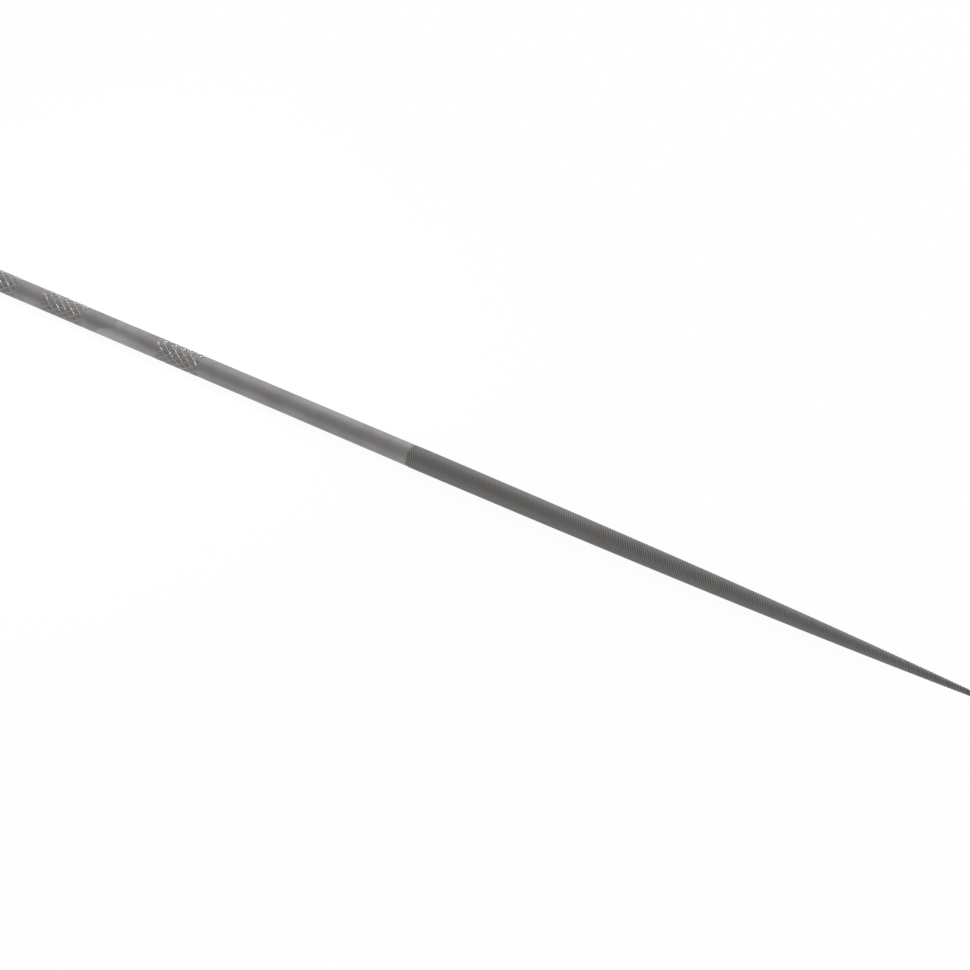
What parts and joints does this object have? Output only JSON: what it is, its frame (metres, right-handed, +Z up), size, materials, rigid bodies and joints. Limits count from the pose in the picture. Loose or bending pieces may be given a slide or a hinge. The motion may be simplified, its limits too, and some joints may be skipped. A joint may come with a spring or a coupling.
{
  "type": "round swiss pattern file",
  "caption": "Slim round needle file of steel with a knurled round handle, a plain shank and a spirally cut body that tapers in a long curve to a fine point.",
  "frame": {"origin": "centre of the flat butt end of the handle, on the file's axis", "axes": "+X along the file's axis from the butt to the point, which is its longest extent; +Z up with the file lying on its side; -X is the outward normal of the butt"},
  "size_m": [0.16, 0.003, 0.003],
  "materials": {
    "handle_steel": "bright ground and knurled tool steel, slightly warm grey",
    "cut_steel": "hardened, finely cut tool steel, darker grey"
  },
  "bodies": {
    "root": {"knurled_handle": "handle_steel", "plain_shank": "handle_steel", "cut_body": "cut_steel"}
  },
  "joints": []
}
